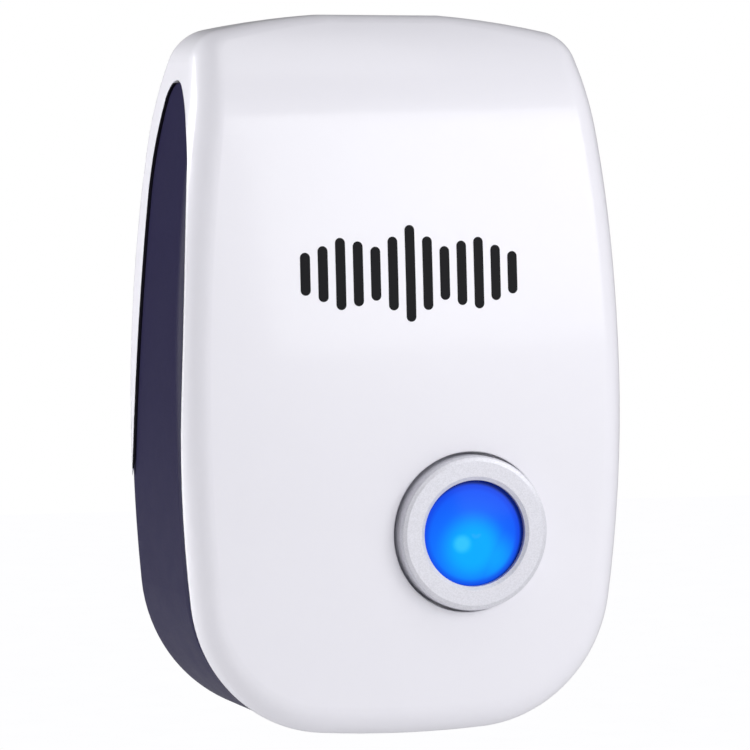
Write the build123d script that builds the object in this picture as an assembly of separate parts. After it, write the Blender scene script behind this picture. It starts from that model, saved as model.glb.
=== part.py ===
from build123d import *
import math
import os

# Plug-in ultrasonic pest repeller: a white front cover over a dark rear housing, a push
# button with a blue lens on the front, and two flat mains blades at the back.
# Millimetres. The case is modelled with its lowest point at z = 0, its wall side at y = 0
# and its front towards -Y. At export everything moves down by plug_height, so that the
# origin is the centre of the plug on the wall plane.

# ---- outline of the case, seen from the front ----
case_height = 95.0
case_width = 62.0
widest_height = 40.0
top_half_width = 26.3
bottom_half_width = 27.2
top_bow = 3.2
bottom_bow = 2.0
top_corner_radius = 5.4
bottom_corner_radius = 19.5

# ---- section of the case, seen from the side ----
case_depth = 28.0
front_bow_radius = 320.0
front_bow_drop = 65.0
crown_radius = 270.0
shoulder_radius = 24.0
shoulder_drop = 16.0
shoulder_turn = 45.0
rear_shoulder_radius = 24.0
rear_shoulder_drop = 19.0
front_edge_radius = 4.4
rear_edge_radius = 2.5

# ---- walls and the joint between the two shells ----
cover_wall = 2.0
housing_wall = 2.6
housing_recess = 0.4
housing_corner_extra = 1.5
shell_gap = 0.3
tongue_clearance = 0.1
tongue_reach = 2.0
rim_setback = 0.3
parting_depth = 24.0
leaf_top_drop = 10.0
arch_top_drop = 9.8
arch_half_width = 23.0
arch_corner_radius = 9.0

# ---- plug ----
plug_height = 50.0
blade_spacing = 12.7
blade_width = 6.35
blade_thickness = 1.52
blade_reach = 17.5
blade_nose = 1.6
blade_hole_radius = 1.6
blade_hole_reach = 11.9
blade_shoulder_width = 8.6
blade_shoulder_depth = 1.8
blade_tail_width = 4.0
blade_tail_depth = 3.2
insert_width = 24.0
insert_height = 14.0
insert_corner = 3.0
insert_gap = 0.1
insert_flange = 2.0
insert_flange_depth = 1.6
clamp_width = 42.0
clamp_height = 9.0
clamp_depth = 1.6
clamp_screw_x = 17.5
clamp_post_radius = 2.6
clamp_screw_radius = 0.9
clamp_screw_bite = 2.6
clamp_hole_radius = 1.1
clamp_head_radius = 1.9
clamp_head_depth = 1.3

# ---- case screws ----
screw_x = 19.0
screw_low_height = 13.0
screw_high_height = 72.0
post_radius = 4.4
post_front = 12.0
counterbore_radius = 2.9
counterbore_depth = 5.0
screw_hole_radius = 1.6
screw_head_radius = 2.6
screw_head_depth = 1.8
screw_shank_radius = 1.45
screw_length = 12.0
boss_radius = 3.6
boss_gap = 0.1
drive_slot = 0.7
drive_depth = 0.7

# ---- circuit board ----
board_width = 48.0
board_low = 19.0
board_high = 64.0
board_back = 10.6
board_thickness = 1.6
board_screw_x = 20.5
board_screw_low = 22.5
board_screw_high = 60.5
standoff_radius = 2.8
board_screw_radius = 1.0
board_screw_bite = 4.4
board_hole_radius = 1.3
board_head_radius = 2.0
board_head_depth = 1.4

# ---- sound outlet and transducer ----
sounder_y = -12.7
slot_count = 5
slot_length = 12.0
slot_width = 1.4
slot_pitch = 2.6
collar_seat = 3.4
collar_top = 9.0
collar_wall = 1.3
mesh_thickness = 0.3
holder_radius = 7.7
holder_lip = 0.8
holder_height = 6.0
can_radius = 6.4
can_height = 8.0
can_wall = 0.4

# ---- button ----
button_x = 8.0
button_height = 27.0
button_travel = 1.2
ring_proud = 2.1
ring_radius = 10.2
ring_window = 7.0
ring_plate = 1.5
ring_gap = 0.4
skirt_wall = 1.6
flange_radius = 11.7
flange_thickness = 0.9
flange_gap = 0.2
seat_depth_from_front = 2.6
collar_gap = 0.3
guide_wall = 1.2
guide_length = 4.9
lens_gap = 0.05
lens_flange = 1.2
lens_dome = 1.1
diffuser_thickness = 1.0
carrier_thickness = 1.2
carrier_rim = 1.7
stem_radius = 2.0
hub_radius = 2.8
spoke_width = 2.0

# ---- push switch and lamps ----
switch_size = 5.8
switch_depth = 6.0
switch_floor = 1.0
switch_roof = 0.8
plunger_shaft = 2.8
plunger_gap = 0.1
plunger_base = 3.2
plunger_base_depth = 1.2
plunger_play = 0.2
spring_radius = 1.1
spring_wire = 0.3
spring_turns = 4
pin_radius = 0.35
pin_pitch = 2.0
pin_row_offset = 2.2
lamp_offset = 6.2
lamp_radius = 1.5
lamp_height = 5.4

# ---- components on the board ----
part_lift = 0.2
film_capacitor_spot = (-13.0, 55.0)
film_capacitor_length = 13.0
film_capacitor_width = 6.0
film_capacitor_height = 10.5
filter_capacitor_spots = ((2.0, 56.8), (12.0, 56.8))
filter_capacitor_radius = 4.0
filter_capacitor_height = 10.5
score_width = 0.3
diode_spots = ((-15.0, 44.5), (-15.0, 41.0), (-3.5, 44.5), (-3.5, 41.0))
diode_radius = 1.3
diode_length = 5.0
diode_span = 9.0
fusible_spot = (-14.0, 49.0)
fusible_radius = 1.9
fusible_length = 9.0
fusible_span = 13.0
resistor_spots = ((-13.0, 27.2), (-13.0, 24.4), (-5.0, 27.2), (-5.0, 24.4))
resistor_radius = 1.1
resistor_length = 5.6
resistor_span = 8.6
chip_spot = (-10.0, 34.2)
chip_width = 6.4
chip_length = 9.4
chip_lift = 0.5
chip_top = 3.9
chip_pin_pitch = 2.2
chip_pin_rows = 4
chip_pin_reach = 0.7
chip_pin_level = 2.0
chip_pin_thickness = 0.3
transistor_x = -19.0
transistor_heights = (30.0, 37.0)
transistor_radius = 2.3
transistor_flat = 1.6
transistor_lift = 2.0
transistor_top = 6.6
transistor_leg = 0.4
transistor_leg_pitch = 1.3
coil_x = 12.0
coil_z = 46.6
coil_lift = 1.2
coil_height = 9.0
core_width = 13.0
core_depth = 5.0
core_leg = 1.6
core_window = 3.0
tube_wall = 0.45
tube_gap = 0.05
bobbin_width = 9.0
bobbin_length = 9.6
bobbin_flange = 0.5
winding_width = 8.0
winding_length = 8.8

# ---- leads ----
lead_radius = 0.6
lead_x = 13.0
lead_top_clearance = 2.6
signal_lead_radius = 0.5

# ---- places worked out from the sizes above ----
front_bow_height = case_height - front_bow_drop
shoulder_height = case_height - shoulder_drop
rear_shoulder_height = case_height - rear_shoulder_drop
leaf_top_height = case_height - leaf_top_drop
arch_top_height = case_height - arch_top_drop
board_front = -(board_back + board_thickness)
wall_inside = -(housing_recess + housing_wall)
ring_front = -(case_depth + ring_proud)
seat_y = -(case_depth - seat_depth_from_front)
lens_seat = ring_front + ring_plate
lens_back = lens_seat + lens_flange
diffuser_back = lens_back + diffuser_thickness
carrier_back = diffuser_back + carrier_thickness
flange_front = seat_y + flange_gap
flange_back = flange_front + flange_thickness
guide_radius = flange_radius + collar_gap
skirt_inner = ring_radius - skirt_wall
switch_front = board_front - switch_depth
plunger_front = switch_front - button_travel - 1.0
insert_back = wall_inside - insert_flange_depth
shoulder_back = insert_back - blade_shoulder_depth
clamp_back = shoulder_back - clamp_depth
tail_back = shoulder_back - blade_tail_depth
coil_back = board_front - coil_lift
coil_front = coil_back - coil_height
coil_low = coil_back - core_leg - 0.1
coil_high = coil_front + core_leg + 0.1
screw_seat = -counterbore_depth
screw_spots = [(x, z) for z in (screw_low_height, screw_high_height) for x in (-screw_x, screw_x)]
board_spots = [(x, z) for z in (board_screw_low, board_screw_high) for x in (-board_screw_x, board_screw_x)]


# ---------------------------------------------------------------- simple solids
def block(x, y, z):
    """Box between the given pairs of x, y and z."""
    size = [abs(pair[1] - pair[0]) for pair in (x, y, z)]
    middle = [(pair[0] + pair[1]) / 2 for pair in (x, y, z)]
    return Pos(*middle) * Box(*size)


def rod_y(x, z, radius, y_start, y_end):
    """Cylinder along Y."""
    turned = Pos(x, (y_start + y_end) / 2, z) * Rot(90, 0, 0)
    return turned * Cylinder(radius, abs(y_end - y_start))


def rod_z(x, y, radius, z_start, z_end):
    """Cylinder along Z."""
    return Pos(x, y, (z_start + z_end) / 2) * Cylinder(radius, abs(z_end - z_start))


def rod_x(y, z, radius, x_start, x_end):
    """Cylinder along X."""
    turned = Pos((x_start + x_end) / 2, y, z) * Rot(0, 90, 0)
    return turned * Cylinder(radius, abs(x_end - x_start))


def tube_y(x, z, outer, inner, y_start, y_end):
    """Tube along Y."""
    overrun = 0.5 if y_end > y_start else -0.5
    bore = rod_y(x, z, inner, y_start - overrun, y_end + overrun)
    return rod_y(x, z, outer, y_start, y_end) - bore


def turned_y(points, x, z):
    """Solid of revolution about a line along Y, from (radius, y) points."""
    profile = Plane.XY * make_face(Polyline(*points, close=True))
    return Pos(x, 0, z) * revolve(profile, Axis.Y, 360)


def turned_z(points, x, y):
    """Solid of revolution about a vertical line, from (radius, z) points."""
    profile = Plane.XZ * make_face(Polyline(*points, close=True))
    return Pos(x, y, 0) * revolve(profile, Axis.Z, 360)


def rounded_plate(width, height, corner, y_start, y_end, x=0.0, z=plug_height):
    """Plate across Y with rounded corners."""
    face = Plane.XZ * RectangleRounded(width, height, corner)
    length = abs(y_end - y_start)
    return Pos(x, max(y_start, y_end), z) * extrude(face, amount=length)


def cross_recess(x, z, head_face, radius):
    """Cross drive in a screw head that faces +Y, with head_face as its outer face."""
    reach = radius * 0.6
    y = (head_face - drive_depth, head_face + 0.5)
    across = block((x - reach, x + reach), y, (z - drive_slot / 2, z + drive_slot / 2))
    upright = block((x - drive_slot / 2, x + drive_slot / 2), y, (z - reach, z + reach))
    return across + upright


# ---------------------------------------------------------------- outer form
def circle_through(first, second, third):
    """Centre and radius of the circle through three points."""
    (ax, ay), (bx, by), (cx, cy) = first, second, third
    turn = 2 * (ax * (by - cy) + bx * (cy - ay) + cx * (ay - by))
    a, b, c = ax * ax + ay * ay, bx * bx + by * by, cx * cx + cy * cy
    x = (a * (by - cy) + b * (cy - ay) + c * (ay - by)) / turn
    y = (a * (cx - bx) + b * (ax - cx) + c * (bx - ax)) / turn
    return x, y, math.hypot(ax - x, ay - y)


def bowed_face(top, side, low, top_radius, low_radius, inset):
    """Face with four bowed sides, each an arc, and rounded corners, moved inwards by inset.

    top and low are (half width, height, bow); side is (half width, height).
    """
    corners = [(-top[0], top[1]), (top[0], top[1]), (low[0], low[1]), (-low[0], low[1])]
    middles = [(0, top[1] + top[2]), side, (0, low[1] - low[2]), (-side[0], side[1])]
    face = None
    for index, outward in enumerate((90, 0, 270, 180)):
        x, y, radius = circle_through(corners[index], middles[index], corners[(index + 1) % 4])
        disc = Pos(x, y, 0) * Rot(0, 0, outward + 180) * Circle(radius - inset)
        face = disc if face is None else face & disc
    face = fillet(face.vertices().sort_by(Axis.Y)[-2:], top_radius - inset)
    if low_radius:
        nearest = sorted(face.vertices(), key=lambda v: abs(abs(v.X) - low[0]) + abs(v.Y - low[1]))
        face = fillet(nearest[:2], low_radius - inset)
    return face


def outline(inset, corner_extra):
    """Front outline of the case."""
    return bowed_face(
        top=(top_half_width, case_height - top_bow, top_bow),
        side=(case_width / 2, widest_height),
        low=(bottom_half_width, bottom_bow, bottom_bow),
        top_radius=top_corner_radius,
        low_radius=bottom_corner_radius + corner_extra,
        inset=inset,
    )


def front_block(inset):
    """Everything behind the crowned front: a bowed profile turned about a far vertical axis."""
    centre_y = front_bow_radius - case_depth
    bow = front_bow_radius - inset
    lean = math.asin((shoulder_height - front_bow_height) / front_bow_radius)
    turn = lean + math.radians(shoulder_turn)
    pivot_y = centre_y - (front_bow_radius - shoulder_radius) * math.cos(lean)
    pivot_z = front_bow_height + (front_bow_radius - shoulder_radius) * math.sin(lean)
    round_over = shoulder_radius - inset

    def on_bow(angle):
        return (centre_y - bow * math.cos(angle), front_bow_height + bow * math.sin(angle))

    def on_shoulder(angle):
        return (pivot_y - round_over * math.cos(angle), pivot_z + round_over * math.sin(angle))

    dip = -math.asin((front_bow_height + 8) / front_bow_radius)
    low = on_bow(dip)
    top = on_shoulder(turn)
    axis_y = crown_radius - case_depth
    edges = [
        ThreePointArc(low, on_bow((dip + lean) / 2), on_bow(lean)),
        ThreePointArc(on_bow(lean), on_shoulder((lean + turn) / 2), top),
        Line(top, (axis_y, top[1])),
        Line((axis_y, top[1]), (axis_y, low[1])),
        Line((axis_y, low[1]), low),
    ]
    axis = Axis((0, axis_y, 0), (0, 0, 1))
    return revolve(Plane.YZ * make_face(edges), axis, 360)


def rear_block(inset, rear_inset):
    """Everything in front of the wall plane, with the rounded shoulder over the top."""
    radius = rear_shoulder_radius - inset
    end = math.radians(60)

    def on_arc(angle):
        y = radius * (math.cos(angle) - 1) - rear_inset
        return (y, rear_shoulder_height + radius * math.sin(angle))

    last = on_arc(end)
    far = -2 * case_depth
    edges = [
        Line((-rear_inset, -10), on_arc(0)),
        ThreePointArc(on_arc(0), on_arc(end / 2), last),
        Line(last, (far, last[1])),
        Line((far, last[1]), (far, -10)),
        Line((far, -10), (-rear_inset, -10)),
    ]
    return extrude(Plane.YZ * make_face(edges), amount=case_width, both=True)


def case_solid(inset, rear_inset=None, corner_extra=0.0):
    """The case as one solid block, every surface moved inwards by inset."""
    if rear_inset is None:
        rear_inset = inset
    plate = extrude(Plane.XZ * outline(inset, corner_extra), amount=case_depth + 12)
    body = (plate & front_block(inset) & rear_block(inset, rear_inset)).solids()[0]
    front_loop = []
    rear_loop = []
    for edge in body.edges():
        middle = edge @ 0.5
        run = (edge @ 1) - (edge @ 0)
        goes_back = edge.geom_type == GeomType.LINE and abs(run.Y) > 0.99 * run.length
        seam_height = abs(middle.Z - shoulder_height) < 6 and abs(middle.X) < 0.01
        if goes_back or seam_height:
            continue
        if middle.Y < -case_depth / 2:
            front_loop.append(edge)
        else:
            rear_loop.append(edge)
    if front_edge_radius - inset > 0.3:
        body = fillet(front_loop, front_edge_radius - inset)
    kept = [e for e in body.edges() if any((e @ 0.5 - r @ 0.5).length < 0.001 for r in rear_loop)]
    return fillet(kept, max(rear_edge_radius - inset, 0.4))


# ---------------------------------------------------------------- parting between the shells
def tangent_chain(start, heading, targets, grow):
    """Arcs tangent to each other through the targets, all moved to their left by grow."""
    edges = []
    here = Vector(*start)
    angle = heading
    for target in targets:
        there = Vector(*target)
        chord = there - here
        along = math.atan2(chord.Y, chord.X)
        bend = math.remainder(along - angle, 2 * math.pi)
        end_angle = angle + 2 * bend
        left = Vector(-math.sin(along), math.cos(along))
        first = here + Vector(-math.sin(angle), math.cos(angle)) * grow
        last = there + Vector(-math.sin(end_angle), math.cos(end_angle)) * grow
        if abs(bend) < 1e-6:
            edges.append(Line(first, last))
        else:
            sag = chord.length / 2 * math.tan(bend / 2)
            edges.append(ThreePointArc(first, (here + there) * 0.5 + left * (grow - sag), last))
        here = there
        angle = end_angle
    return edges


def leaf_region(grow):
    """Side panels and underside, seen from the side and carried across the whole width."""
    front = -parting_depth
    targets = [
        (front, 44.0),
        (front + 3.2, 74.6),
        (front + 9.9, leaf_top_height),
        (-7.6, leaf_top_height - 2.0),
        (-5.8, 70.0),
        (0.8, 22.0),
    ]
    edges = tangent_chain((front, -6), math.radians(90), targets, grow)
    first = edges[0] @ 0
    last = edges[-1] @ 1
    edges.append(Polyline(last, (last.X + 6, last.Y), (last.X + 6, first.Y), first))
    return extrude(Plane.YZ * make_face(edges), amount=case_width, both=True)


def arch_region(grow):
    """Wall panel, seen from behind: it fills the width low down and an arch higher up."""
    face = bowed_face(
        top=(arch_half_width, arch_top_height - 2.7, 2.7),
        side=(case_width / 2 - 1.5, 42.0),
        low=(case_width / 2 + 2.0, 8.0, 1.0),
        top_radius=arch_corner_radius,
        low_radius=0,
        inset=-grow,
    )
    return Pos(0, 2, 0) * extrude(Plane.XZ * face, amount=8.0)


def housing_region(grow):
    """Where the dark housing shows, grown or shrunk at its border."""
    return leaf_region(grow) + arch_region(grow)


# ---------------------------------------------------------------- front cover
def cover_boss(x, z):
    """Boss that takes a case screw, from the screw post to the front wall."""
    start = -(post_front + boss_gap)
    return rod_y(x, z, boss_radius, start, -case_depth)


def cover_boss_hole(x, z):
    """Pilot hole of a cover boss."""
    start = -(post_front + boss_gap)
    return rod_y(x, z, screw_shank_radius, start + 1, screw_seat - screw_length - 1.0)


def front_cover():
    """White shell: front, top, rear rim and side tails, with bosses and the button guide."""
    outer = case_solid(0, rear_inset=rim_setback)
    inner = case_solid(cover_wall)
    shell = (outer - inner) - housing_region(shell_gap / 2)
    fittings = [cover_boss(x, z) for x, z in screw_spots]
    guide_end = seat_y + guide_length
    fittings.append(rod_y(button_x, button_height, guide_radius + guide_wall, -case_depth, guide_end))
    inside = outer & case_solid(cover_wall / 2)
    for fitting in fittings:
        shell += fitting & inside
    for x, z in screw_spots:
        shell -= cover_boss_hole(x, z)
    shell -= rod_y(button_x, button_height, ring_radius + ring_gap, -case_depth - 5, seat_y + 1)
    shell -= rod_y(button_x, button_height, guide_radius, seat_y, guide_end + 1)
    return shell


# ---------------------------------------------------------------- rear housing
def sound_slot(index):
    """One slot through the underside."""
    y = sounder_y + (index - (slot_count - 1) / 2) * slot_pitch
    slot = SlotOverall(slot_length, slot_width)
    return Pos(0, y, -2) * extrude(slot, amount=collar_seat + 4)


def rear_housing():
    """Dark shell: wall panel, side panels and underside, with posts, standoffs and the collar."""
    outer = case_solid(housing_recess, rear_inset=0, corner_extra=housing_corner_extra)
    inner = case_solid(housing_recess + housing_wall)
    skin = (outer - inner) & housing_region(-shell_gap / 2)
    lip = case_solid(cover_wall + tongue_clearance) - inner
    front_field = outline(housing_recess + housing_wall + 1.0, housing_corner_extra)
    shell = skin + (lip & housing_region(tongue_reach))
    shell -= Pos(0, -case_depth / 3, 0) * extrude(Plane.XZ * front_field, amount=case_depth)
    inside = outer & case_solid(housing_recess + housing_wall / 2)
    fittings = [rod_y(x, z, post_radius, -1, -post_front) for x, z in screw_spots]
    fittings += [rod_y(x, z, standoff_radius, -1, -board_back) for x, z in board_spots]
    for side in (-1, 1):
        fittings.append(rod_y(side * clamp_screw_x, plug_height, clamp_post_radius, -1, shoulder_back))
    fittings.append(rod_z(0, sounder_y, holder_radius + collar_wall, 0, collar_top))
    for fitting in fittings:
        shell += fitting & inside
    for x, z in screw_spots:
        shell -= rod_y(x, z, counterbore_radius, 1, screw_seat)
        shell -= rod_y(x, z, screw_hole_radius, screw_seat + 1, -post_front - 1)
    for x, z in board_spots:
        shell -= rod_y(x, z, board_screw_radius, -board_back - 1, -board_back + 5)
    for side in (-1, 1):
        x = side * clamp_screw_x
        end = shoulder_back + clamp_screw_bite
        shell -= rod_y(x, plug_height, clamp_screw_radius, shoulder_back - 1, end)
    shell -= rod_z(0, sounder_y, holder_radius, collar_seat, collar_top + 1)
    for index in range(slot_count):
        shell -= sound_slot(index)
    opening = insert_width + 2 * insert_gap
    shell -= rounded_plate(opening, insert_height + 2 * insert_gap, insert_corner, 1, wall_inside - 1)
    return shell


# ---------------------------------------------------------------- plug
def plug_insert():
    """Moulded insert that holds the two blades in the wall panel."""
    body = rounded_plate(insert_width, insert_height, insert_corner, 0, insert_back)
    body += rounded_plate(
        insert_width + 2 * insert_flange,
        insert_height + 2 * insert_flange,
        insert_corner + insert_flange,
        wall_inside,
        insert_back,
    )
    half = blade_thickness / 2
    for side in (-1, 1):
        x = side * blade_spacing / 2
        z = (plug_height - blade_width / 2, plug_height + blade_width / 2)
        body -= block((x - half, x + half), (1, insert_back - 1), z)
    return body


def blade(side):
    """Flat blade with a tapered nose and a hole, a shoulder behind the insert and a solder tail."""
    half = blade_width / 2
    shoulder = blade_shoulder_width / 2
    tail = blade_tail_width / 2
    nose_half = half - blade_nose * 0.6
    right = [
        (blade_reach, nose_half),
        (blade_reach - blade_nose, half),
        (insert_back, half),
        (insert_back, shoulder),
        (shoulder_back, shoulder),
        (shoulder_back, tail),
        (tail_back, tail),
    ]
    points = right + [(y, -z) for y, z in reversed(right)]
    face = Plane.YZ * make_face(Polyline(*points, close=True))
    plate = extrude(face, amount=blade_thickness / 2, both=True)
    nose = plate.edges().filter_by(Axis.Z).sort_by(Axis.Y)[-2:]
    plate = chamfer(nose, blade_thickness * 0.3)
    plate -= rod_x(blade_hole_reach, 0, blade_hole_radius, -2, 2)
    return Pos(side * blade_spacing / 2, 0, plug_height) * plate


def blade_clamp():
    """Bridge screwed down over the blade shoulders."""
    plate = rounded_plate(clamp_width, clamp_height, 2.0, shoulder_back, clamp_back)
    half = blade_thickness / 2 + 0.1
    for side in (-1, 1):
        x = side * blade_spacing / 2
        reach = blade_tail_width / 2 + 0.1
        z = (plug_height - reach, plug_height + reach)
        plate -= block((x - half, x + half), (shoulder_back + 1, clamp_back - 1), z)
        hole_x = side * clamp_screw_x
        plate -= rod_y(hole_x, plug_height, clamp_hole_radius, shoulder_back + 1, clamp_back - 1)
    return plate


def small_screw(x, z, head_seat, length, shank, head, head_depth):
    """Screw driven towards the wall, from the inside: its head faces -Y."""
    body = rod_y(x, z, head, head_seat - head_depth, head_seat)
    rim = body.edges().filter_by(GeomType.CIRCLE).sort_by(Axis.Y)[0]
    body = fillet(rim, head_depth * 0.4)
    body += rod_y(x, z, shank, head_seat, head_seat + length)
    slot = (head_seat - head_depth - 1, head_seat - head_depth + 0.5)
    body -= block((x - head, x + head), slot, (z - 0.3, z + 0.3))
    return body


def clamp_screws():
    """Two screws of the blade clamp."""
    made = []
    for side in (-1, 1):
        x = side * clamp_screw_x
        length = clamp_depth + clamp_screw_bite - 0.4
        head = (clamp_head_radius, clamp_head_depth)
        made.append(small_screw(x, plug_height, clamp_back, length, clamp_screw_radius, *head))
    return made


def mains_lead(side):
    """Insulated wire from a blade's tail over the board's top edge to its pad."""
    y_back = (clamp_back + board_back * -1) / 2 + 0.05
    y_front = board_front - lead_radius
    top = board_high + lead_top_clearance
    points = [
        (side * (blade_spacing + blade_thickness) / 2, y_back, plug_height),
        (side * lead_x, y_back, plug_height),
        (side * lead_x, y_back, top),
        (side * lead_x, y_front, top),
        (side * lead_x, y_front, board_high - 1.6),
    ]
    path = FilletPolyline(*points, radius=1.6)
    profile = Plane(origin=path @ 0, z_dir=path % 0) * Circle(lead_radius)
    return sweep(profile, path=path)


# ---------------------------------------------------------------- case screws
def housing_screws():
    """Four pan-head screws, driven from behind through the posts into the cover's bosses."""
    made = []
    for x, z in screw_spots:
        face = screw_seat + screw_head_depth
        head = rod_y(x, z, screw_head_radius, screw_seat, face)
        rim = head.edges().filter_by(GeomType.CIRCLE).sort_by(Axis.Y)[-1]
        head = fillet(rim, screw_head_depth * 0.5)
        shank = rod_y(x, z, screw_shank_radius, screw_seat, screw_seat - screw_length)
        tip = shank.edges().filter_by(GeomType.CIRCLE).sort_by(Axis.Y)[0]
        shank = chamfer(tip, screw_shank_radius * 0.5)
        made.append(head + shank - cross_recess(x, z, face, screw_head_radius))
    return made


# ---------------------------------------------------------------- transducer
def dust_mesh():
    """Round of fine mesh over the sound slots."""
    return rod_z(0, sounder_y, holder_radius, collar_seat, collar_seat + mesh_thickness)


def transducer_holder():
    """Rubber sleeve with a lip under the transducer."""
    low = collar_seat + mesh_thickness
    points = [
        (can_radius - holder_lip, low),
        (holder_radius, low),
        (holder_radius, low + holder_height),
        (can_radius, low + holder_height),
        (can_radius, low + holder_lip),
        (can_radius - holder_lip, low + holder_lip),
    ]
    return turned_z(points, 0, sounder_y)


can_low = collar_seat + mesh_thickness + holder_lip


def transducer_can():
    """Metal can, open upwards, with a ring of holes in its sounding face."""
    can = rod_z(0, sounder_y, can_radius, can_low, can_low + can_height)
    can -= rod_z(0, sounder_y, can_radius - can_wall, can_low + can_wall, can_low + can_height + 1)
    can -= rod_z(0, sounder_y, 0.9, can_low - 1, can_low + 1)
    for index in range(6):
        angle = math.radians(60 * index)
        x = 3.0 * math.cos(angle)
        y = sounder_y + 3.0 * math.sin(angle)
        can -= rod_z(x, y, 0.9, can_low - 1, can_low + 1)
    return can


base_low = can_low + can_height - 1.6
element_low = base_low - 1.4


def transducer_base():
    """Moulded base that closes the can, with a ring that carries the piezo disc."""
    disc = rod_z(0, sounder_y, can_radius - can_wall, base_low, base_low + 1.4)
    ring = rod_z(0, sounder_y, 3.6, element_low + 0.4, base_low)
    ring -= rod_z(0, sounder_y, 3.0, element_low, base_low)
    body = disc + ring
    for side in (-1, 1):
        body -= rod_z(side * 2.5, sounder_y, pin_radius, element_low - 1, base_low + 2)
    return body


def piezo_disc():
    """Ceramic disc on the base's ring."""
    return rod_z(0, sounder_y, 4.4, element_low, element_low + 0.4)


def transducer_cone():
    """Thin metal cone fixed to the middle of the piezo disc."""
    points = [
        (0, element_low - 0.5),
        (0, element_low),
        (1.2, element_low),
        (4.6, element_low - 2.2),
        (4.6, element_low - 2.5),
        (1.2, element_low - 0.5),
    ]
    return turned_z(points, 0, sounder_y)


pin_top = can_low + can_height + 2.2


def transducer_pins():
    """Two pins through the base."""
    return [rod_z(side * 2.5, sounder_y, pin_radius, base_low + 0.1, pin_top) for side in (-1, 1)]


def transducer_leads():
    """Two short wires from the pins to pads at the board's lower edge."""
    radius = signal_lead_radius
    y = board_front - radius
    return [rod_z(side * 2.5, y, radius, pin_top, board_low + 2.6) for side in (-1, 1)]


# ---------------------------------------------------------------- button
def button_ring():
    """Satin ring with a skirt, and a flange that stays behind the cover's seat."""
    points = [
        (ring_window, ring_front + 0.3),
        (ring_window + 0.5, ring_front),
        (ring_radius - 0.7, ring_front),
        (ring_radius - 0.2, ring_front + 0.2),
        (ring_radius, ring_front + 0.7),
        (ring_radius, flange_front),
        (flange_radius, flange_front),
        (flange_radius, flange_back),
        (skirt_inner, flange_back),
        (skirt_inner, lens_seat),
        (ring_window, lens_seat),
    ]
    return turned_y(points, button_x, button_height)


def button_lens():
    """Domed blue lens with a flange that sits behind the ring."""
    window = ring_window - lens_gap
    flange = skirt_inner - lens_gap
    apex = ring_front - 0.2
    edge = apex + lens_dome
    edges = [
        Line((0, lens_back), (flange, lens_back)),
        Line((flange, lens_back), (flange, lens_seat)),
        Line((flange, lens_seat), (window, lens_seat)),
        Line((window, lens_seat), (window, edge)),
        TangentArc((0, apex), (window, edge), tangent=(1, 0)),
        Line((0, apex), (0, lens_back)),
    ]
    return Pos(button_x, 0, button_height) * revolve(Plane.XY * make_face(edges), Axis.Y, 360)


def light_diffuser():
    """Milky disc behind the lens."""
    return rod_y(button_x, button_height, skirt_inner - lens_gap, lens_back, diffuser_back)


def button_carrier():
    """Spoked carrier with the stem that presses the switch."""
    outer = skirt_inner - lens_gap
    body = tube_y(button_x, button_height, outer, outer - carrier_rim, diffuser_back, carrier_back)
    body += rod_y(button_x, button_height, hub_radius, diffuser_back, carrier_back)
    reach = outer - carrier_rim / 2
    for index in range(3):
        spoke = block((0, reach), (diffuser_back, carrier_back), (-spoke_width / 2, spoke_width / 2))
        body += Pos(button_x, 0, button_height) * Rot(0, 90 + 120 * index, 0) * spoke
    body += rod_y(button_x, button_height, stem_radius, carrier_back, plunger_front)
    return body


# ---------------------------------------------------------------- switch and lamps
def square_y(size, y_start, y_end):
    """Square bar along Y on the button's axis."""
    half = size / 2
    x = (button_x - half, button_x + half)
    z = (button_height - half, button_height + half)
    return block(x, (y_start, y_end), z)


def switch_housing():
    """Body of the push switch on the board."""
    body = square_y(switch_size, board_front, switch_front)
    body = fillet(body.edges().filter_by(Axis.Y), 0.5)
    well = plunger_base + 2 * plunger_gap
    body -= square_y(well, board_front - switch_floor, switch_front + switch_roof)
    body -= square_y(plunger_shaft + 2 * plunger_gap, switch_front - 1, switch_front + switch_roof + 1)
    return body


plunger_base_front = switch_front + switch_roof + plunger_play
plunger_base_back = plunger_base_front + plunger_base_depth


def switch_plunger():
    """Plunger with a base that keeps it inside the switch."""
    body = square_y(plunger_shaft, plunger_front, plunger_base_front)
    body += square_y(plunger_base, plunger_base_front, plunger_base_back)
    return body


def switch_spring():
    """Return spring between the switch floor and the plunger's base."""
    low = board_front - switch_floor
    length = abs(low - plunger_base_back) - spring_wire
    pitch = length / spring_turns
    coil = Helix(pitch, length, spring_radius)
    profile = Plane(origin=coil @ 0, z_dir=coil % 0) * Circle(spring_wire / 2)
    wire = sweep(profile, path=coil, is_frenet=True)
    return Pos(button_x, low - spring_wire / 2, button_height) * Rot(90, 0, 0) * wire


def pin_spots():
    """Places of the switch's six pins."""
    columns = [button_x + column * pin_pitch for column in (-1, 0, 1)]
    rows = [button_height + row * pin_row_offset for row in (-1, 1)]
    return [(x, z) for z in rows for x in columns]


def switch_pins():
    """Six pins under the switch, through the board."""
    return [rod_y(x, z, pin_radius, board_front, -board_back + 0.9) for x, z in pin_spots()]


def night_light_leds():
    """Two round lamps beside the switch."""
    made = []
    for side in (-1, 1):
        x = button_x + side * lamp_offset
        top = board_front - lamp_height
        body = rod_y(x, button_height, lamp_radius, board_front, top + lamp_radius)
        body += rod_y(x, button_height, lamp_radius + 0.3, board_front, board_front - 1.0)
        body += Pos(x, top + lamp_radius, button_height) * Sphere(lamp_radius)
        made.append(body)
    return made


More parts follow.
